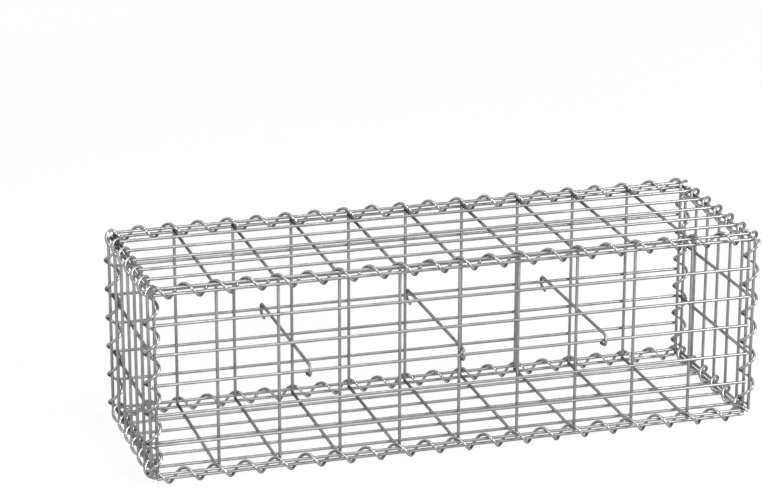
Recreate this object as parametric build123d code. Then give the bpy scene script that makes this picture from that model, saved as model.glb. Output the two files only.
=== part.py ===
from build123d import *
import os
from math import atan2, ceil, cos, degrees, floor, hypot, pi, radians, sin, sqrt

# Gabion basket of welded galvanised mesh, laced along its twelve edges.
# Length runs along X, depth along Y with the front at -Y, height along Z.
# Each panel is a welded grid: line wires on the outside, cross wires inside them.

# Nominal body of the basket, between the outermost wires of its panels.
basket_length = 1000.0
basket_depth = 300.0
basket_height = 300.0

# Mesh: cross wires stand one long cell apart, line wires one short cell apart.
long_cell = 100.0
short_cell = 50.0

# Drawn wire of mesh, spirals and spacers.
wire_diameter = 5.0
wire_sides = 6
wire_overhang = 1.5

# Play left between the edges of two neighbouring panels.
panel_play = 0.15

# Edge spirals: turns in one cell, straight runs in one turn, play round the edge wires.
turns_per_long_cell = 2
turns_per_short_cell = 1
runs_per_turn = 8
spiral_play = 0.9

# Spacers between front and back: places along the length and form of the hooks.
spacer_places = (-251.0, 5.6, 249.0)
spacer_hook_radius = 9.2
spacer_tail = 14.0
spacer_tail_drop = 2.0
spacer_bend_runs = 5
spacer_play = 0.05

# The six sides stand for the round wire and enclose the same section area.
corner_radius = wire_diameter / 2 * sqrt(pi / (wire_sides * sin(2 * pi / wire_sides) / 2))
flat_radius = corner_radius * cos(pi / wire_sides)
wire_step = 2 * flat_radius

long_cells = max(1, round(basket_length / long_cell))
short_cells_up = max(2, round(basket_height / short_cell))
short_cells_deep = max(2, round(basket_depth / short_cell))
half_length = basket_length / 2
half_depth = basket_depth / 2

# Cross and line wires of front and back, measured along Y from the middle.
side_cross = half_depth - wire_diameter / 5
side_line = side_cross + wire_step

# Wires of lid and base, measured outwards along Z from the top and bottom of the sides.
flat_cross = wire_overhang + panel_play + flat_radius
flat_line = flat_cross + wire_step

# Wires of the two end panels, measured along X from the middle.
end_cross = half_length + flat_radius + corner_radius + panel_play / 2
end_line = end_cross + wire_step


def spread(length, cells):
    """Even places of wires over a length, from its start to its end."""
    return [length * k / cells for k in range(cells + 1)]


along_length = [x - half_length for x in spread(basket_length, long_cells)]
across_depth = [y - half_depth for y in spread(basket_depth, short_cells_deep)]
up_height = spread(basket_height, short_cells_up)
end_rungs = up_height[:: max(1, round(long_cell / short_cell))]


def wire(start, end, flats):
    """Straight wire between two points, with flats square to the given direction."""
    a = Vector(*start)
    b = Vector(*end)
    across = Plane(origin=a, x_dir=Vector(*flats), z_dir=b - a)
    section = across * RegularPolygon(corner_radius, wire_sides, rotation=180 / wire_sides)
    return extrude(section, (b - a).length)


def side_panel(side):
    """Front or back panel: long wires outside, upright wires welded behind them."""
    end = half_length + wire_overhang
    top = basket_height + wire_overhang
    out = (0, 1, 0)
    y_line = side * side_line
    y_cross = side * side_cross
    lines = [wire((-end, y_line, z), (end, y_line, z), out) for z in up_height]
    cross = [wire((x, y_cross, -wire_overhang), (x, y_cross, top), out) for x in along_length]
    return lines + cross


def flat_panel(level, outwards):
    """Lid or base: long wires on the outer face, short wires welded under them."""
    end = half_length + wire_overhang
    reach = half_depth + wire_overhang
    out = (0, 0, 1)
    z_line = level + outwards * flat_line
    z_cross = level + outwards * flat_cross
    lines = [wire((-end, y, z_line), (end, y, z_line), out) for y in across_depth]
    cross = [wire((x, -reach, z_cross), (x, reach, z_cross), out) for x in along_length]
    return lines + cross


def end_panel(side):
    """End panel: upright wires outside, a few level wires welded behind them."""
    top = basket_height + wire_overhang
    reach = half_depth + wire_overhang
    out = (1, 0, 0)
    x_line = side * end_line
    x_cross = side * end_cross
    lines = [wire((x_line, y, -wire_overhang), (x_line, y, top), out) for y in across_depth]
    cross = [wire((x_cross, -reach, z), (x_cross, reach, z), out) for z in end_rungs]
    return lines + cross


# Edge wires that each spiral holds together, as points in the plane square to the edge.
# On X edges the plane is (Y, Z), on Y edges (Z, X) and on Z edges (X, Y).
def length_edge(side, level, outwards):
    """Edge wires of a front or back panel and of the lid or base."""
    return (side * side_line, level), (side * half_depth, level + outwards * flat_line)


def depth_edge(side, level, outwards):
    """Edge wires of an end panel and of the lid or base."""
    return (level, side * end_cross), (level + outwards * flat_cross, side * half_length)


def height_edge(end_side, side):
    """Edge wires of a front or back panel and of an end panel."""
    return (end_side * end_line, side * half_depth), (end_side * half_length, side * side_cross)


def distance(pair):
    """Distance between the two edge wires of a pair."""
    (j0, k0), (j1, k1) = pair
    return hypot(j1 - j0, k1 - k0)


widest_pair = max(map(distance, (length_edge(1, 0, -1), depth_edge(1, 0, -1), height_edge(1, 1))))
spiral_radius = widest_pair / 2 + wire_diameter + spiral_play


def spiral_centre(pair):
    """Axis of a spiral that bears on the second wire of its pair and clears the first."""
    (j0, k0), (j1, k1) = pair
    gap = distance(pair)
    share = widest_pair / 2 / gap
    return j1 + (j0 - j1) * share, k1 + (k0 - k1) * share


def bent_wire(points, corners):
    """Wire of straight mitred runs, with two corners of its section in the given direction."""
    start = Vector(*points[0])
    across = Plane(origin=start, x_dir=Vector(*corners), z_dir=Vector(*points[1]) - start)
    section = across * RegularPolygon(corner_radius, wire_sides)
    return sweep(section, path=Polyline(*points), transition=Transition.RIGHT)


def spiral(axis, pair, edge, pitch, phase, past):
    """Right-handed spiral of straight mitred runs round two edge wires.

    axis is 0, 1 or 2 for X, Y or Z, and edge is where the nominal body starts and stops on it.
    phase is the share of a pitch after a cross wire at which the spiral passes the first
    direction of its plane. past is how far it may run beyond either end of the edge.
    """
    centre = spiral_centre(pair)
    towards = degrees(atan2(pair[1][1] - centre[1], pair[1][0] - centre[0]))
    step = 360 / runs_per_turn
    first = towards % step
    start = edge[0] + phase * pitch
    n0 = ceil(((edge[0] - past[0] - start) * 360 / pitch - first) / step)
    n1 = floor(((edge[1] + past[1] - start) * 360 / pitch - first) / step)
    points = []
    for n in range(n0, n1 + 1):
        angle = first + step * n
        point = [0.0, 0.0, 0.0]
        point[axis] = start + pitch * angle / 360
        point[(axis + 1) % 3] = centre[0] + spiral_radius * cos(radians(angle))
        point[(axis + 2) % 3] = centre[1] + spiral_radius * sin(radians(angle))
        points.append(tuple(point))
    along = [float(k == axis) for k in range(3)]
    return [bent_wire(points, along)]


length_pitch = basket_length / long_cells / turns_per_long_cell
height_pitch = basket_height / short_cells_up / turns_per_short_cell
depth_pitch = basket_depth / short_cells_deep / turns_per_short_cell


def length_spiral(side, level, outwards, phase, past):
    """Spiral along a front or back edge of the lid or base."""
    pair = length_edge(side, level, outwards)
    return spiral(0, pair, (-half_length, half_length), length_pitch, phase, past)


def depth_spiral(side, level, outwards, phase, past):
    """Spiral along an end edge of the lid or base."""
    pair = depth_edge(side, level, outwards)
    return spiral(1, pair, (-half_depth, half_depth), depth_pitch, phase, past)


def height_spiral(end_side, side, phase, past):
    """Spiral up one of the four corners."""
    return spiral(2, height_edge(end_side, side), (0, basket_height), height_pitch, phase, past)


def spacer(place):
    """Spacer wire from the middle wire of the back to that of the front, hooked on both."""
    level = up_height[len(up_height) // 2]
    bend = spacer_hook_radius
    middle = side_line + wire_step + spacer_play - bend * cos(pi / spacer_bend_runs / 2)
    front = [(place, -(middle - spacer_tail), level - bend - spacer_tail_drop)]
    for k in range(spacer_bend_runs + 1):
        angle = radians(-90 + 180 * k / spacer_bend_runs)
        front.append((place, -(middle + bend * cos(angle)), level + bend * sin(angle)))
    back = [(x, -y, z) for x, y, z in reversed(front)]
    return [bent_wire(front + back, (1, 0, 0))]


# Each spiral's last two values say how far it runs past the corner at its low and high end:
# of the three that meet there, one runs through and the others stop clear of it.
top = basket_height
parts = {
    "front_panel": side_panel(-1),
    "back_panel": side_panel(1),
    "lid_panel": flat_panel(top, 1),
    "base_panel": flat_panel(0, -1),
    "left_end_panel": end_panel(-1),
    "right_end_panel": end_panel(1),
    "front_top_spiral": length_spiral(-1, top, 1, 0.76, (-3, -2)),
    "front_bottom_spiral": length_spiral(-1, 0, -1, 0.66, (2, 6)),
    "back_top_spiral": length_spiral(1, top, 1, 0.63, (4, -2)),
    "back_bottom_spiral": length_spiral(1, 0, -1, 0.84, (0, 2)),
    "left_top_spiral": depth_spiral(-1, top, 1, 0.10, (7, 7)),
    "left_bottom_spiral": depth_spiral(-1, 0, -1, 0.79, (-6, -11)),
    "right_top_spiral": depth_spiral(1, top, 1, 0.90, (7, 1)),
    "right_bottom_spiral": depth_spiral(1, 0, -1, 0.63, (-13, 2)),
    "left_front_spiral": height_spiral(-1, -1, 0.61, (1, -5)),
    "left_back_spiral": height_spiral(-1, 1, 0.77, (0, 1)),
    "right_front_spiral": height_spiral(1, -1, 0.96, (-3, -2)),
    "right_back_spiral": height_spiral(1, 1, 0.95, (-4, -1)),
}
for number, place in enumerate(spacer_places, 1):
    parts["spacer_wire_%d" % number] = spacer(place)

# The basket stands on its lower spirals: their lowest corner is at Z = 0, mid-basket at X = Y = 0.
solids_of = {name: [solid for piece in group for solid in piece.solids()] for name, group in parts.items()}
box = Compound([solid for solids in solids_of.values() for solid in solids]).bounding_box()
stand = Pos(-box.center().X, -box.center().Y, -box.min.Z)

os.makedirs("parts", exist_ok=True)
for name, group in solids_of.items():
    solids = [stand * solid for solid in group]
    shape = solids[0] if len(solids) == 1 else Compound(solids)
    export_step(shape, "parts/%s.step" % name)
    print(name, len(solids), "solids")
print("size", box.size, "moved by", -box.center().X, -box.center().Y, -box.min.Z)
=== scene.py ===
"""Looks of a welded wire-mesh gabion basket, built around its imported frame.

All lengths are in metres. Length runs along X, depth along Y with the front at -Y,
height along Z, and the basket stands on the floor at Z = 0.
"""

from __future__ import annotations

import logging
import math
from dataclasses import dataclass, field
from enum import Enum

import bpy
from mathutils import Euler, Matrix, Vector

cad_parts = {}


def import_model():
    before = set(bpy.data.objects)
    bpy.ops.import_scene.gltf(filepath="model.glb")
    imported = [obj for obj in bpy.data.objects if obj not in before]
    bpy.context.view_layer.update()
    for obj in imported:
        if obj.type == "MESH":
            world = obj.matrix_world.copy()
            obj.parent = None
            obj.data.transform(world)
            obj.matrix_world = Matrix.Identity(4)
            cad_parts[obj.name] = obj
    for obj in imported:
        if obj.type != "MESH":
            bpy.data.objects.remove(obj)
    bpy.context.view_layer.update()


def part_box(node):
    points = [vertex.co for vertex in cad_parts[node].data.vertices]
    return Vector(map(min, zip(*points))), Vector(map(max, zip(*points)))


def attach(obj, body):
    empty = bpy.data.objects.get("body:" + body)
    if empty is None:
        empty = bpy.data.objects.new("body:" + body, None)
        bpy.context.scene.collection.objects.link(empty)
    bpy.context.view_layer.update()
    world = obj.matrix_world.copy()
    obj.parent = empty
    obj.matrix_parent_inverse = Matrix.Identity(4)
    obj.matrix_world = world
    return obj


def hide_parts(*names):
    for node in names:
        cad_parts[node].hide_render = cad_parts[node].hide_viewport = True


log = logging.getLogger("gabion_basket")

BODY = "root"
SIDE_CORNERS = 4
CUT_STEEL_SLOT = 1


def turn_to(direction: Vector) -> Euler:
    """Finds the turn that lays a shape made along Z along another direction.

    Args:
        direction: Where the shape's own Z axis points afterwards.

    Returns:
        The turn as Euler angles.
    """
    return Vector((0, 0, 1)).rotation_difference(direction).to_euler()


class Axis(Enum):
    """Directions in which wires run."""

    X = 0
    Y = 1
    Z = 2

    @property
    def unit(self) -> Vector:
        """Unit vector along the axis."""
        return Vector([float(k == self.value) for k in range(3)])

    @property
    def first(self) -> Vector:
        """First direction of the plane square to the axis, right-handed."""
        return Vector([float(k == (self.value + 1) % 3) for k in range(3)])

    @property
    def second(self) -> Vector:
        """Second direction of the plane square to the axis, right-handed."""
        return Vector([float(k == (self.value + 2) % 3) for k in range(3)])

    @property
    def turn(self) -> Euler:
        """Turn that lays a shape made along Z along this axis."""
        return turn_to(self.unit)


@dataclass(frozen=True)
class WireStock:
    """Drawn round wire that every piece of the basket is made from."""

    diameter: float = 0.005
    sides: int = 24
    cut_bevel: float = 0.00035
    cut_bevel_steps: int = 2
    frame_sides: int = 6

    @property
    def radius(self) -> float:
        """Radius of the round wire."""
        return self.diameter / 2

    @property
    def frame_corner(self) -> float:
        """Corner radius of the six-sided section of equal area in the frame."""
        n = self.frame_sides
        return self.radius * math.sqrt(math.pi / (n / 2 * math.sin(2 * math.pi / n)))

    @property
    def frame_flat(self) -> float:
        """Half width across the flats of that section."""
        return self.frame_corner * math.cos(math.pi / self.frame_sides)


@dataclass(frozen=True)
class Grid:
    """Nominal body of the basket and its mesh cells, placed by the frame."""

    low: Vector
    high: Vector
    long_cell: float = 0.1
    short_cell: float = 0.05

    @classmethod
    def from_frame(cls, wire: WireStock) -> Grid:
        """Reads the nominal body from the side and end panels of the frame.

        Args:
            wire: The wire whose corner radius the panels' boxes include.

        Returns:
            The grid in the frame's own place.
        """
        edge = wire.frame_corner
        side_low, side_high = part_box("front_panel")
        end_low, end_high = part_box("left_end_panel")
        low = Vector((side_low[0] + edge, end_low[1] + edge, side_low[2] + edge))
        high = Vector((side_high[0] - edge, end_high[1] - edge, side_high[2] - edge))
        return cls(low, high)


def deselect() -> None:
    """Leaves nothing selected, so that the next operator acts on its own object alone."""
    if bpy.context.mode != "OBJECT":
        bpy.ops.object.mode_set(mode="OBJECT")
    bpy.ops.object.select_all(action="DESELECT")


def activate(piece: bpy.types.Object) -> None:
    """Selects one piece alone and makes it the active one.

    Args:
        piece: The object that the next operators act on.
    """
    deselect()
    piece.select_set(True)
    bpy.context.view_layer.objects.active = piece


def apply_place(piece: bpy.types.Object) -> None:
    """Moves a piece's place and turn into its mesh.

    Args:
        piece: The object, which ends at the origin.
    """
    activate(piece)
    bpy.ops.object.transform_apply(location=True, rotation=True, scale=True)


def apply_modifiers(piece: bpy.types.Object) -> None:
    """Applies every modifier of a piece, in order.

    Args:
        piece: The object whose modifiers become mesh.
    """
    activate(piece)
    for modifier in list(piece.modifiers):
        bpy.ops.object.modifier_apply(modifier=modifier.name)


def array(piece: bpy.types.Object, step: Vector, count: int) -> None:
    """Repeats a piece along a line.

    Args:
        piece: The object that is repeated within its own mesh.
        step: Offset from one copy to the next.
        count: Number of copies in all.
    """
    activate(piece)
    bpy.ops.object.modifier_add(type="ARRAY")
    row = piece.modifiers[-1]
    row.use_relative_offset = False
    row.use_constant_offset = True
    row.constant_offset_displace = step
    row.count = count
    bpy.ops.object.modifier_apply(modifier=row.name)


def join(name: str, pieces: list[bpy.types.Object]) -> bpy.types.Object:
    """Joins pieces into one object.

    Args:
        name: Name of the joined object.
        pieces: Objects to join, which share their list of materials.

    Returns:
        The joined object.
    """
    activate(pieces[0])
    for piece in pieces[1:]:
        piece.select_set(True)
    bpy.ops.object.join()
    joined = bpy.context.object
    joined.name = name
    joined.data.name = name
    return joined


def smooth(piece: bpy.types.Object, degrees: float = 40.0) -> None:
    """Shades a piece smooth, apart from edges sharper than an angle.

    Args:
        piece: The object to shade.
        degrees: Angle from which an edge stays sharp.
    """
    activate(piece)
    bpy.ops.object.shade_smooth_by_angle(angle=math.radians(degrees))


def is_cut(face: bpy.types.MeshPolygon) -> bool:
    """Tells the cut end of a wire from its sides, by its many corners."""
    return len(face.vertices) > SIDE_CORNERS


def break_cut_edges(piece: bpy.types.Object, wire: WireStock) -> None:
    """Takes the sharp edge off both cut ends of a wire.

    Args:
        piece: The wire, in object mode.
        wire: The stock, which says how wide the broken edge is.
    """
    activate(piece)
    bpy.context.tool_settings.mesh_select_mode = (False, False, True)
    mesh = piece.data
    for element in (*mesh.vertices, *mesh.edges):
        element.select = False
    for face in mesh.polygons:
        face.select = is_cut(face)
    bpy.ops.object.mode_set(mode="EDIT")
    bpy.ops.mesh.select_mode(type="FACE")
    bpy.ops.mesh.bevel(offset=wire.cut_bevel, segments=wire.cut_bevel_steps, affect="EDGES")
    bpy.ops.object.mode_set(mode="OBJECT")


@dataclass(frozen=True)
class DrawnWireGroup:
    """Shader group for zinc on drawn wire: cloudy bloom, small crystals and draw lines."""

    name: str = "zinc_on_drawn_wire"
    bloom_fineness: float = 38.0
    bloom_detail: float = 4.0
    bloom_roughness: float = 0.6
    bloom_low: float = 0.34
    bloom_high: float = 0.68
    crystal_fineness: float = 420.0
    crystal_share: float = 0.35
    line_detail: float = 3.0
    dull_share: float = 0.74

    def node_group(self) -> bpy.types.NodeTree:
        """Builds the group once and hands out the same one after that.

        Returns:
            The node group, with a colour, a roughness and a height.
        """
        if self.name in bpy.data.node_groups:
            return bpy.data.node_groups[self.name]
        tree = bpy.data.node_groups.new(self.name, "ShaderNodeTree")
        ports = tree.interface
        for label, way, kind in (
            ("Place", "INPUT", "Vector"),
            ("Line Place", "INPUT", "Vector"),
            ("Bright", "INPUT", "Color"),
            ("Dull", "INPUT", "Color"),
            ("Rough Low", "INPUT", "Float"),
            ("Rough High", "INPUT", "Float"),
            ("Line Depth", "INPUT", "Float"),
            ("Crystal Depth", "INPUT", "Float"),
            ("Colour", "OUTPUT", "Color"),
            ("Roughness", "OUTPUT", "Float"),
            ("Height", "OUTPUT", "Float"),
        ):
            ports.new_socket(label, in_out=way, socket_type=f"NodeSocket{kind}")

        nodes, links = tree.nodes, tree.links
        start = nodes.new("NodeGroupInput")
        end = nodes.new("NodeGroupOutput")

        bloom = nodes.new("ShaderNodeTexNoise")
        bloom.inputs["Scale"].default_value = self.bloom_fineness
        bloom.inputs["Detail"].default_value = self.bloom_detail
        bloom.inputs["Roughness"].default_value = self.bloom_roughness
        links.new(start.outputs["Place"], bloom.inputs["Vector"])
        bloom_range = nodes.new("ShaderNodeMapRange")
        bloom_range.inputs["From Min"].default_value = self.bloom_low
        bloom_range.inputs["From Max"].default_value = self.bloom_high
        links.new(bloom.outputs["Fac"], bloom_range.inputs["Value"])

        crystals = nodes.new("ShaderNodeTexVoronoi")
        crystals.inputs["Scale"].default_value = self.crystal_fineness
        links.new(start.outputs["Place"], crystals.inputs["Vector"])
        crystal_tone = nodes.new("ShaderNodeSeparateColor")
        links.new(crystals.outputs["Color"], crystal_tone.inputs["Color"])

        lines = nodes.new("ShaderNodeTexNoise")
        lines.inputs["Scale"].default_value = 1.0
        lines.inputs["Detail"].default_value = self.line_detail
        links.new(start.outputs["Line Place"], lines.inputs["Vector"])

        share = nodes.new("ShaderNodeMath")
        share.operation = "MULTIPLY_ADD"
        share.inputs[1].default_value = self.crystal_share
        links.new(crystal_tone.outputs["Red"], share.inputs[0])
        links.new(bloom_range.outputs["Result"], share.inputs[2])
        level = nodes.new("ShaderNodeMath")
        level.operation = "MULTIPLY"
        level.inputs[1].default_value = self.dull_share
        level.use_clamp = True
        links.new(share.outputs["Value"], level.inputs[0])

        tone = nodes.new("ShaderNodeMix")
        tone.data_type = "RGBA"
        links.new(level.outputs["Value"], tone.inputs["Factor"])
        links.new(start.outputs["Bright"], tone.inputs["A"])
        links.new(start.outputs["Dull"], tone.inputs["B"])
        links.new(tone.outputs["Result"], end.inputs["Colour"])

        rough = nodes.new("ShaderNodeMapRange")
        links.new(level.outputs["Value"], rough.inputs["Value"])
        links.new(start.outputs["Rough Low"], rough.inputs["To Min"])
        links.new(start.outputs["Rough High"], rough.inputs["To Max"])
        links.new(rough.outputs["Result"], end.inputs["Roughness"])

        line_height = nodes.new("ShaderNodeMath")
        line_height.operation = "MULTIPLY"
        links.new(lines.outputs["Fac"], line_height.inputs[0])
        links.new(start.outputs["Line Depth"], line_height.inputs[1])
        height = nodes.new("ShaderNodeMath")
        height.operation = "MULTIPLY_ADD"
        links.new(crystal_tone.outputs["Green"], height.inputs[0])
        links.new(start.outputs["Crystal Depth"], height.inputs[1])
        links.new(line_height.outputs["Value"], height.inputs[2])
        links.new(height.outputs["Value"], end.inputs["Height"])
        return tree


@dataclass(frozen=True)
class ZincFinish:
    """Galvanised finish of one kind of wire.

    The edge tint is what the metal gives back at a grazing view. It is black, a painted
    shade that draws dark outlines along the round wire's edges against the white background.
    """

    name: str
    bright: tuple[float, float, float] = (0.385, 0.39, 0.395)
    dull: tuple[float, float, float] = (0.25, 0.255, 0.26)
    metallic: float = 0.75
    painted_edge_shade: tuple[float, float, float] = (0.0, 0.0, 0.0)
    rough_low: float = 0.34
    rough_high: float = 0.44
    line_depth: float = 0.6
    crystal_depth: float = 0.35
    bump: float = 0.3
    bump_depth: float = 0.0001
    line_fineness: float = 2600.0
    line_length: float = 25.0

    def along(self, axis: Axis | None) -> bpy.types.Material:
        """Makes or hands out the finish for wires that run along one axis.

        Args:
            axis: Direction of the draw lines, or None where the wire winds.

        Returns:
            The material.
        """
        name = self.name if axis is None else f"{self.name}_{axis.name.lower()}"
        if name in bpy.data.materials:
            return bpy.data.materials[name]
        material = bpy.data.materials.new(name)
        material.use_nodes = True
        nodes, links = material.node_tree.nodes, material.node_tree.links
        shader = nodes["Principled BSDF"]
        shader.inputs["Metallic"].default_value = self.metallic
        shader.inputs["Specular IOR Level"].default_value = 0.0
        # Black edge tint: painted shade that darkens the wire's edges at a grazing view.
        shader.inputs["Specular Tint"].default_value = (*self.painted_edge_shade, 1.0)
        place = nodes.new("ShaderNodeTexCoord")
        lines = nodes.new("ShaderNodeMapping")
        fine = self.line_fineness
        lines.inputs["Scale"].default_value = [
            self.line_length if axis is not None and k == axis.value else fine for k in range(3)
        ]
        links.new(place.outputs["Object"], lines.inputs["Vector"])
        zinc = nodes.new("ShaderNodeGroup")
        zinc.node_tree = DrawnWireGroup().node_group()
        zinc.inputs["Bright"].default_value = (*self.bright, 1.0)
        zinc.inputs["Dull"].default_value = (*self.dull, 1.0)
        zinc.inputs["Rough Low"].default_value = self.rough_low
        zinc.inputs["Rough High"].default_value = self.rough_high
        zinc.inputs["Line Depth"].default_value = self.line_depth
        zinc.inputs["Crystal Depth"].default_value = self.crystal_depth
        links.new(place.outputs["Object"], zinc.inputs["Place"])
        links.new(lines.outputs["Vector"], zinc.inputs["Line Place"])
        links.new(zinc.outputs["Colour"], shader.inputs["Base Color"])
        links.new(zinc.outputs["Roughness"], shader.inputs["Roughness"])
        bump = nodes.new("ShaderNodeBump")
        bump.inputs["Strength"].default_value = self.bump
        bump.inputs["Distance"].default_value = self.bump_depth
        links.new(zinc.outputs["Height"], bump.inputs["Height"])
        links.new(bump.outputs["Normal"], shader.inputs["Normal"])
        return material


@dataclass(frozen=True)
class CutSteelFinish:
    """Bare steel of a sheared wire end, with the marks of the blade."""

    name: str = "cut_steel"
    pale: tuple[float, float, float] = (0.42, 0.41, 0.40)
    dark: tuple[float, float, float] = (0.20, 0.19, 0.18)
    metallic: float = 0.8
    rough_low: float = 0.4
    rough_high: float = 0.65
    mark_fineness: float = 900.0
    mark_detail: float = 3.0
    bump: float = 0.3
    bump_depth: float = 0.0001

    def material(self) -> bpy.types.Material:
        """Makes or hands out the material.

        Returns:
            The material.
        """
        if self.name in bpy.data.materials:
            return bpy.data.materials[self.name]
        material = bpy.data.materials.new(self.name)
        material.use_nodes = True
        nodes, links = material.node_tree.nodes, material.node_tree.links
        shader = nodes["Principled BSDF"]
        shader.inputs["Metallic"].default_value = self.metallic
        place = nodes.new("ShaderNodeTexCoord")
        marks = nodes.new("ShaderNodeTexNoise")
        marks.inputs["Scale"].default_value = self.mark_fineness
        marks.inputs["Detail"].default_value = self.mark_detail
        links.new(place.outputs["Object"], marks.inputs["Vector"])
        tone = nodes.new("ShaderNodeMix")
        tone.data_type = "RGBA"
        tone.inputs["A"].default_value = (*self.dark, 1.0)
        tone.inputs["B"].default_value = (*self.pale, 1.0)
        links.new(marks.outputs["Fac"], tone.inputs["Factor"])
        links.new(tone.outputs["Result"], shader.inputs["Base Color"])
        rough = nodes.new("ShaderNodeMapRange")
        rough.inputs["To Min"].default_value = self.rough_low
        rough.inputs["To Max"].default_value = self.rough_high
        links.new(marks.outputs["Fac"], rough.inputs["Value"])
        links.new(rough.outputs["Result"], shader.inputs["Roughness"])
        bump = nodes.new("ShaderNodeBump")
        bump.inputs["Strength"].default_value = self.bump
        bump.inputs["Distance"].default_value = self.bump_depth
        links.new(marks.outputs["Fac"], bump.inputs["Height"])
        links.new(bump.outputs["Normal"], shader.inputs["Normal"])
        return material


def dress(piece: bpy.types.Object, zinc: bpy.types.Material) -> None:
    """Gives a piece its zinc, and bare steel where it is a wire with cut ends.

    Args:
        piece: The wire or weld, before it is repeated or joined.
        zinc: Material of the drawn surface.
    """
    piece.data.materials.clear()
    piece.data.materials.append(zinc)
    piece.data.materials.append(CutSteelFinish().material())
    for face in piece.data.polygons:
        if is_cut(face):
            face.material_index = CUT_STEEL_SLOT


@dataclass
class WeldedPanel:
    """One welded mesh panel: line wires, cross wires and the welds between them."""

    node: str
    line_axis: Axis
    cross_axis: Axis
    outward: int
    line_step: float
    cross_step: float
    wire: WireStock
    finish: ZincFinish
    overhang: float = 0.0015
    weld_spread: float = 0.0026
    weld_thickness: float = 0.0013
    weld_segments: int = 8
    weld_rings: int = 6
    smooth_below: float = 60.0

    @property
    def out_axis(self) -> Axis:
        """Direction square to the panel."""
        return next(axis for axis in Axis if axis not in (self.line_axis, self.cross_axis))

    def corner(self) -> tuple[Vector, Vector]:
        """Places where the first and the last wires of the panel cross.

        Returns:
            The lowest and the highest crossing, in the frame's place.
        """
        low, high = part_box(self.node)
        edge = Vector((self.wire.frame_corner,) * 3)
        return Vector(low) + edge, Vector(high) - edge

    def level(self, outer: bool) -> float:
        """Place of the wires' middles square to the panel.

        Args:
            outer: True for the outer row of wires, False for the inner row.

        Returns:
            The coordinate along the panel's outward axis.
        """
        low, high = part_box(self.node)
        k = self.out_axis.value
        at_high = (self.outward > 0) == outer
        return high[k] - self.wire.frame_flat if at_high else low[k] + self.wire.frame_flat

    def row(self, along: Axis, across: Axis, step: float, outer: bool) -> bpy.types.Object:
        """One row of like wires.

        Args:
            along: Direction of the wires.
            across: Direction in which they repeat.
            step: Distance from one wire to the next.
            outer: True for the outer row.

        Returns:
            The row as one object.
        """
        first, last = self.corner()
        length = (last - first).dot(along.unit) + 2 * self.overhang
        middle = (first + last) / 2
        middle[across.value] = first[across.value]
        middle[self.out_axis.value] = self.level(outer)
        deselect()
        bpy.ops.mesh.primitive_cylinder_add(
            vertices=self.wire.sides,
            radius=self.wire.radius,
            depth=length,
            location=middle,
            rotation=along.turn,
        )
        wire = bpy.context.object
        apply_place(wire)
        break_cut_edges(wire, self.wire)
        dress(wire, self.finish.along(along))
        count = round((last - first).dot(across.unit) / step) + 1
        array(wire, across.unit * step, count)
        return wire

    def welds(self) -> bpy.types.Object:
        """Squeezed-out metal between the wires at every crossing.

        Returns:
            The welds as one object.
        """
        first, last = self.corner()
        place = first.copy()
        place[self.out_axis.value] = (self.level(True) + self.level(False)) / 2
        deselect()
        bpy.ops.mesh.primitive_uv_sphere_add(
            segments=self.weld_segments,
            ring_count=self.weld_rings,
            radius=1.0,
            location=place,
            rotation=self.out_axis.turn,
            scale=(self.weld_spread, self.weld_spread, self.weld_thickness),
        )
        weld = bpy.context.object
        apply_place(weld)
        dress(weld, self.finish.along(self.line_axis))
        for axis, step in (
            (self.line_axis, self.cross_step),
            (self.cross_axis, self.line_step),
        ):
            array(weld, axis.unit * step, round((last - first).dot(axis.unit) / step) + 1)
        return weld

    def build(self) -> list[bpy.types.Object]:
        """Builds the panel as one welded piece.

        Returns:
            The pieces made.
        """
        lines = self.row(self.line_axis, self.cross_axis, self.line_step, True)
        crosses = self.row(self.cross_axis, self.line_axis, self.cross_step, False)
        panel = join(f"{self.node}_mesh", [lines, crosses, self.welds()])
        smooth(panel, self.smooth_below)
        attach(panel, BODY)
        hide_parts(self.node)
        return [panel]


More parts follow.
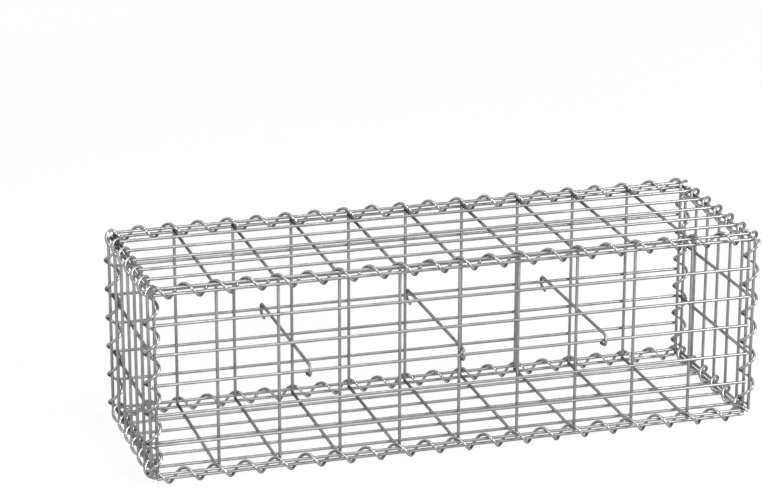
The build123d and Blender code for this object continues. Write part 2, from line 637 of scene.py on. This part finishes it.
@dataclass
class EdgeSpiral:
    """Wire spiral that laces one edge of the basket."""

    node: str
    axis: Axis
    phase: float
    grid: Grid
    wire: WireStock
    finish: ZincFinish
    pitch: float = 0.05
    steps_per_turn: int = 36
    sides: int = 16
    inside_box: float = 0.00005

    def build(self) -> list[bpy.types.Object]:
        """Winds the spiral as a screw of its round section.

        Returns:
            The pieces made.
        """
        low, high = (Vector(c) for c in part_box(self.node))
        size = high - low
        middle = (low + high) / 2
        reach = min(size.dot(self.axis.first), size.dot(self.axis.second)) / 2
        radius = reach - self.wire.radius - self.inside_box
        lead = math.atan2(self.pitch, 2 * math.pi * radius)
        trim = self.wire.radius * math.cos(lead) + self.inside_box
        start = low.dot(self.axis.unit) + trim
        run = size.dot(self.axis.unit) - 2 * trim
        zero = self.grid.low.dot(self.axis.unit) + self.phase * self.pitch
        angle = 2 * math.pi * (start - zero) / self.pitch
        out = self.axis.first * math.cos(angle) + self.axis.second * math.sin(angle)
        round_way = self.axis.unit.cross(out)
        tangent = round_way * math.cos(lead) + self.axis.unit * math.sin(lead)
        deselect()
        bpy.ops.mesh.primitive_circle_add(
            vertices=self.sides,
            radius=self.wire.radius,
            fill_type="NOTHING",
            location=out * radius,
            rotation=turn_to(tangent),
        )
        coil = bpy.context.object
        apply_place(coil)
        turns = run / self.pitch
        bpy.ops.object.modifier_add(type="SCREW")
        screw = coil.modifiers[-1]
        screw.axis = self.axis.name
        screw.angle = 2 * math.pi * turns
        screw.screw_offset = run
        screw.iterations = 1
        screw.steps = round(turns * self.steps_per_turn)
        screw.render_steps = screw.steps
        screw.use_merge_vertices = False
        apply_modifiers(coil)
        self.close_ends(coil)
        place = middle.copy()
        place[self.axis.value] = start
        coil.location = place
        apply_place(coil)
        coil.name = f"{self.node}_wire"
        coil.data.name = coil.name
        smooth(coil)
        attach(coil, BODY)
        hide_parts(self.node)
        return [coil]

    def close_ends(self, coil: bpy.types.Object) -> None:
        """Caps both ends of the wound wire, breaks their edges and dresses the wire.

        Args:
            coil: The open tube left by the screw.
        """
        activate(coil)
        bpy.ops.object.mode_set(mode="EDIT")
        bpy.ops.mesh.select_mode(type="VERT")
        bpy.ops.mesh.select_all(action="DESELECT")
        bpy.ops.mesh.select_non_manifold()
        bpy.ops.mesh.fill_holes(sides=0)
        bpy.ops.mesh.select_all(action="SELECT")
        bpy.ops.mesh.normals_make_consistent(inside=False)
        bpy.ops.object.mode_set(mode="OBJECT")
        break_cut_edges(coil, self.wire)
        dress(coil, self.finish.along(None))


@dataclass
class SpacerWire:
    """Wire across the basket, hooked over the middle line wire of front and back."""

    node: str
    grid: Grid
    wire: WireStock
    finish: ZincFinish
    bend_radius: float = 0.0092
    tail: float = 0.014
    tail_drop: float = 0.002
    bend_steps: int = 14
    sides: int = 20
    merge_distance: float = 1e-6

    def build(self) -> list[bpy.types.Object]:
        """Bends the spacer from one tail to the other.

        Returns:
            The pieces made.
        """
        low, high = (Vector(c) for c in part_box(self.node))
        x = (low.x + high.x) / 2
        line_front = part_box("front_panel")[0][1] + self.wire.frame_flat
        line_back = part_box("back_panel")[1][1] - self.wire.frame_flat
        level = (self.grid.low.z + self.grid.high.z) / 2
        front = line_front - self.wire.diameter + self.bend_radius
        back = line_back + self.wire.diameter - self.bend_radius
        slope = math.atan2(self.tail_drop, self.tail)
        inward = Vector((0, math.cos(slope), -math.sin(slope)))
        below = Vector((0, -math.sin(slope), -math.cos(slope)))
        foot = Vector((x, front, level)) + self.bend_radius * below
        tip = foot + inward * self.tail
        deselect()
        bpy.ops.mesh.primitive_circle_add(
            vertices=self.sides,
            radius=self.wire.radius,
            fill_type="NGON",
            location=tip,
            rotation=turn_to(inward),
        )
        rod = bpy.context.object
        apply_place(rod)
        rod.name = f"{self.node}_rod"
        rod.data.name = rod.name
        bpy.ops.object.mode_set(mode="EDIT")
        bpy.ops.mesh.select_mode(type="FACE")
        bpy.ops.mesh.select_all(action="SELECT")
        hook_turn = math.pi - slope
        self.extrude(-inward * self.tail)
        self.spin(Vector((x, front, level)), hook_turn)
        self.extrude(Vector((0, back - front, 0)))
        self.spin(Vector((x, back, level)), hook_turn)
        inward_back = Vector((0, -math.cos(slope), -math.sin(slope)))
        self.extrude(inward_back * self.tail)
        bpy.ops.mesh.select_all(action="SELECT")
        bpy.ops.mesh.remove_doubles(threshold=self.merge_distance)
        bpy.ops.mesh.normals_make_consistent(inside=False)
        bpy.ops.object.mode_set(mode="OBJECT")
        break_cut_edges(rod, self.wire)
        dress(rod, self.finish.along(Axis.Y))
        smooth(rod)
        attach(rod, BODY)
        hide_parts(self.node)
        return [rod]

    def extrude(self, by: Vector) -> None:
        """Draws the selected section out into a straight length.

        Args:
            by: The length and its direction.
        """
        bpy.ops.mesh.extrude_region_move(TRANSFORM_OT_translate={"value": by})

    def spin(self, centre: Vector, angle: float) -> None:
        """Draws the selected section round a bend square to X.

        Args:
            centre: Middle of the bend.
            angle: Turn about X, in radians.
        """
        bpy.ops.mesh.spin(steps=self.bend_steps, angle=angle, center=centre, axis=(1, 0, 0))


@dataclass
class Basket:
    """The whole basket: six panels, twelve edge spirals and three spacer wires."""

    wire: WireStock = field(default_factory=WireStock)
    mesh_finish: ZincFinish = field(default_factory=lambda: ZincFinish("mesh_zinc"))
    spiral_finish: ZincFinish = field(
        default_factory=lambda: ZincFinish(
            "spiral_zinc",
            bright=(0.465, 0.47, 0.475),
            metallic=0.9,
            rough_low=0.2,
            rough_high=0.3,
        )
    )
    spacer_finish: ZincFinish = field(default_factory=lambda: ZincFinish("spacer_zinc"))
    spacers: int = 3
    spiral_phases: dict[str, tuple[Axis, float]] = field(
        default_factory=lambda: {
            "front_top": (Axis.X, 0.76),
            "front_bottom": (Axis.X, 0.66),
            "back_top": (Axis.X, 0.63),
            "back_bottom": (Axis.X, 0.84),
            "left_top": (Axis.Y, 0.10),
            "left_bottom": (Axis.Y, 0.79),
            "right_top": (Axis.Y, 0.90),
            "right_bottom": (Axis.Y, 0.63),
            "left_front": (Axis.Z, 0.61),
            "left_back": (Axis.Z, 0.77),
            "right_front": (Axis.Z, 0.96),
            "right_back": (Axis.Z, 0.95),
        }
    )

    def panels(self, grid: Grid) -> list[WeldedPanel]:
        """The six welded panels.

        Args:
            grid: The mesh cells.

        Returns:
            The panels, not yet built.
        """
        short, long = grid.short_cell, grid.long_cell
        rows = (
            ("front_panel", Axis.X, Axis.Z, -1),
            ("back_panel", Axis.X, Axis.Z, 1),
            ("lid_panel", Axis.X, Axis.Y, 1),
            ("base_panel", Axis.X, Axis.Y, -1),
            ("left_end_panel", Axis.Z, Axis.Y, -1),
            ("right_end_panel", Axis.Z, Axis.Y, 1),
        )
        return [
            WeldedPanel(node, line, cross, outward, short, long, self.wire, self.mesh_finish)
            for node, line, cross, outward in rows
        ]

    def build(self) -> list[bpy.types.Object]:
        """Builds every piece of the basket.

        Returns:
            All the pieces made.
        """
        grid = Grid.from_frame(self.wire)
        pieces = []
        for panel in self.panels(grid):
            pieces += panel.build()
        for edge, (axis, phase) in self.spiral_phases.items():
            node = f"{edge}_spiral"
            spiral = EdgeSpiral(node, axis, phase, grid, self.wire, self.spiral_finish)
            pieces += spiral.build()
        for number in range(1, self.spacers + 1):
            node = f"spacer_wire_{number}"
            pieces += SpacerWire(node, grid, self.wire, self.spacer_finish).build()
        return pieces


@dataclass(frozen=True)
class Lamp:
    """Soft area lamp that looks at the basket."""

    name: str
    place: tuple[float, float, float]
    width: float
    watts: float
    target: tuple[float, float, float] = (0.0, 0.0, 0.15)

    def build(self) -> bpy.types.Object:
        """Hangs the lamp and aims it.

        Returns:
            The lamp object.
        """
        data = bpy.data.lights.new(self.name, "AREA")
        data.shape = "DISK"
        data.size = self.width
        data.energy = self.watts
        lamp = bpy.data.objects.new(self.name, data)
        bpy.context.scene.collection.objects.link(lamp)
        lamp.location = self.place
        view = Vector(self.target) - Vector(self.place)
        lamp.rotation_euler = view.to_track_quat("-Z", "Y").to_euler()
        return lamp


@dataclass
class Studio:
    """White floor, soft lamps and the plain light of the room."""

    floor_size: float = 40.0
    floor_colour: tuple[float, float, float] = (0.12, 0.12, 0.12)
    floor_roughness: float = 0.9
    floor_glow: float = 0.935
    lit_radius: float = 2.0
    unlit_radius: float = 9.0
    room_level: float = 0.04
    lamps: tuple[Lamp, ...] = (
        Lamp("key_lamp", (4.54, -3.07, 2.59), width=1.6, watts=266.0),
        Lamp("front_lamp", (-1.34, -4.37, 2.18), width=0.6, watts=98.0),
        Lamp("top_lamp", (0.22, -1.27, 4.98), width=0.8, watts=50.0),
        Lamp("back_lamp", (-1.6, 4.4, 2.6), width=2.0, watts=25.0),
    )

    def white_to_the_eye(
        self, nodes: bpy.types.Nodes, links: bpy.types.NodeLinks
    ) -> bpy.types.NodeSocket:
        """Adds the test for rays that should meet the white background.

        Args:
            nodes: Nodes of the material or world.
            links: Its links.

        Returns:
            A socket that is 1 for camera, glossy and transmission rays.
        """
        rays = nodes.new("ShaderNodeLightPath")
        first = nodes.new("ShaderNodeMath")
        first.operation = "MAXIMUM"
        links.new(rays.outputs["Is Camera Ray"], first.inputs[0])
        links.new(rays.outputs["Is Glossy Ray"], first.inputs[1])
        both = nodes.new("ShaderNodeMath")
        both.operation = "MAXIMUM"
        links.new(first.outputs["Value"], both.inputs[0])
        links.new(rays.outputs["Is Transmission Ray"], both.inputs[1])
        return both.outputs["Value"]

    def glow_level(
        self, nodes: bpy.types.Nodes, links: bpy.types.NodeLinks
    ) -> bpy.types.NodeSocket:
        """Raises the floor's glow to white where the lamps no longer reach it.

        Args:
            nodes: Nodes of the floor's material.
            links: Its links.

        Returns:
            A socket with the strength of the glow.
        """
        place = nodes.new("ShaderNodeTexCoord")
        distance = nodes.new("ShaderNodeVectorMath")
        distance.operation = "LENGTH"
        links.new(place.outputs["Object"], distance.inputs[0])
        level = nodes.new("ShaderNodeMapRange")
        level.inputs["From Min"].default_value = self.lit_radius
        level.inputs["From Max"].default_value = self.unlit_radius
        level.inputs["To Min"].default_value = self.floor_glow
        level.inputs["To Max"].default_value = 1.0
        links.new(distance.outputs["Value"], level.inputs["Value"])
        return level.outputs["Result"]

    def build_floor(self) -> bpy.types.Object:
        """Lays the floor.

        Returns:
            The floor object.
        """
        deselect()
        bpy.ops.mesh.primitive_plane_add(size=self.floor_size, location=(0, 0, 0))
        floor = bpy.context.object
        floor.name = "floor"
        material = bpy.data.materials.new("white_floor")
        material.use_nodes = True
        nodes, links = material.node_tree.nodes, material.node_tree.links
        shader = nodes["Principled BSDF"]
        shader.inputs["Base Color"].default_value = (*self.floor_colour, 1.0)
        shader.inputs["Roughness"].default_value = self.floor_roughness
        shader.inputs["Specular IOR Level"].default_value = 0.0
        glow = self.white_to_the_eye(nodes, links)
        strength = nodes.new("ShaderNodeMath")
        strength.operation = "MULTIPLY"
        links.new(glow, strength.inputs[0])
        links.new(self.glow_level(nodes, links), strength.inputs[1])
        shader.inputs["Emission Color"].default_value = (1.0, 1.0, 1.0, 1.0)
        links.new(strength.outputs["Value"], shader.inputs["Emission Strength"])
        floor.data.materials.append(material)
        return floor

    def build_world(self) -> None:
        """Sets the plain light of the room."""
        world = bpy.context.scene.world or bpy.data.worlds.new("room")
        bpy.context.scene.world = world
        world.use_nodes = True
        nodes, links = world.node_tree.nodes, world.node_tree.links
        light = nodes["Background"]
        light.inputs["Color"].default_value = (1.0, 1.0, 1.0, 1.0)
        glow = self.white_to_the_eye(nodes, links)
        level = nodes.new("ShaderNodeMapRange")
        level.inputs["To Min"].default_value = self.room_level
        level.inputs["To Max"].default_value = 1.0
        links.new(glow, level.inputs["Value"])
        links.new(level.outputs["Result"], light.inputs["Strength"])

    def build(self) -> None:
        """Sets up floor, room light and lamps."""
        self.build_floor()
        self.build_world()
        for lamp in self.lamps:
            lamp.build()
        bpy.context.scene.view_settings.view_transform = "Standard"


@dataclass(frozen=True)
class ViewCamera:
    """Camera at the photograph's place, fitted to the crossings of the wires."""

    place: tuple[float, float, float] = (-1.39145, -4.38449, 1.80937)
    azimuth: float = -16.566
    elevation: float = 18.082
    roll: float = 0.033
    image_width: int = 762
    focal_pixels: float = 2942.6
    clip_end: float = 100.0

    def build(self) -> bpy.types.Object:
        """Makes the camera and sets it as the scene's own.

        Returns:
            The camera object.
        """
        az, el, roll = (math.radians(a) for a in (self.azimuth, self.elevation, self.roll))
        back = Vector((math.sin(az) * math.cos(el), -math.cos(az) * math.cos(el), math.sin(el)))
        level = Vector((math.cos(az), math.sin(az), 0.0))
        upright = back.cross(level)
        right = level * math.cos(roll) + upright * math.sin(roll)
        up = upright * math.cos(roll) - level * math.sin(roll)
        data = bpy.data.cameras.new("camera")
        data.lens = self.focal_pixels / self.image_width * data.sensor_width
        data.clip_end = self.clip_end
        camera = bpy.data.objects.new("camera", data)
        bpy.context.scene.collection.objects.link(camera)
        turn = Matrix((right, up, back)).transposed().to_4x4()
        camera.matrix_world = Matrix.Translation(self.place) @ turn
        bpy.context.scene.camera = camera
        return camera


def main() -> None:
    """Builds the basket, the studio and the camera, in that order."""
    logging.basicConfig(level=logging.INFO, format="%(name)s: %(message)s")
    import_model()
    for piece in Basket().build():
        log.info("%s: %d faces", piece.name, len(piece.data.polygons))
    Studio().build()
    ViewCamera().build()


if __name__ == "__main__":
    main()
